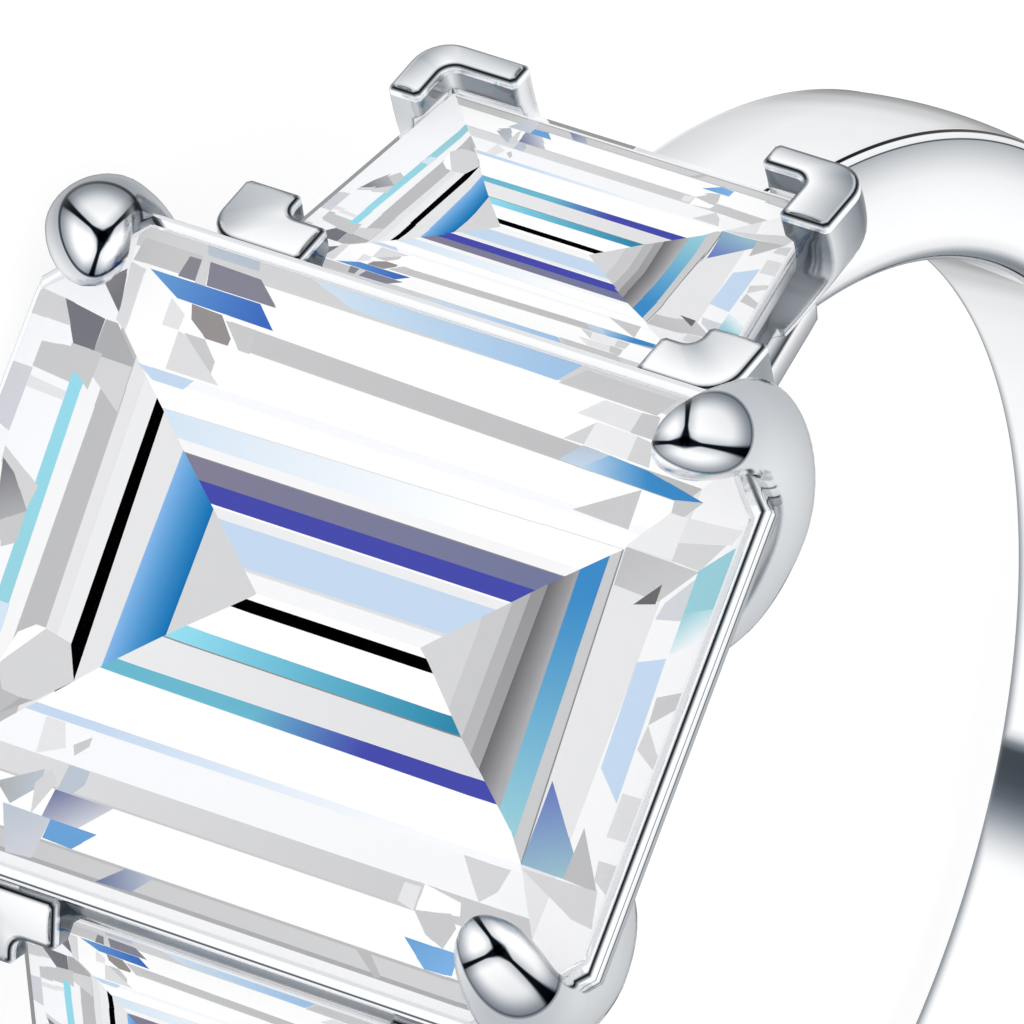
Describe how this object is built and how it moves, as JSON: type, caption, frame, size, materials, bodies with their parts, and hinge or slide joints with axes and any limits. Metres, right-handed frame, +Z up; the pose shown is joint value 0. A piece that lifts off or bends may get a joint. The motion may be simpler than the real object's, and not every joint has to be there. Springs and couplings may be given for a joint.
{
  "type": "three-stone ring",
  "caption": "Ring with an emerald-cut centre stone in round claws between two tapered step-cut side stones in corner posts, on a plain domed shank.",
  "frame": {"origin": "on the surface that the ring lies on, under the middle of its bounding box", "axes": "+Z up, the finger hole's axis leans 12 degrees from it towards +Y; the head with the stones lies towards -Y, and X runs from one side stone to the other"},
  "size_m": [0.02, 0.0242, 0.0113],
  "materials": {
    "metal": "mirror polished, rhodium-white silver",
    "centre_gem": "polished colourless cut stone",
    "side_gem": "polished colourless cut stone"
  },
  "bodies": {
    "root": {"ring_mount": "metal", "centre_stone": "centre_gem", "side_stone_left": "side_gem", "side_stone_right": "side_gem"}
  },
  "joints": []
}
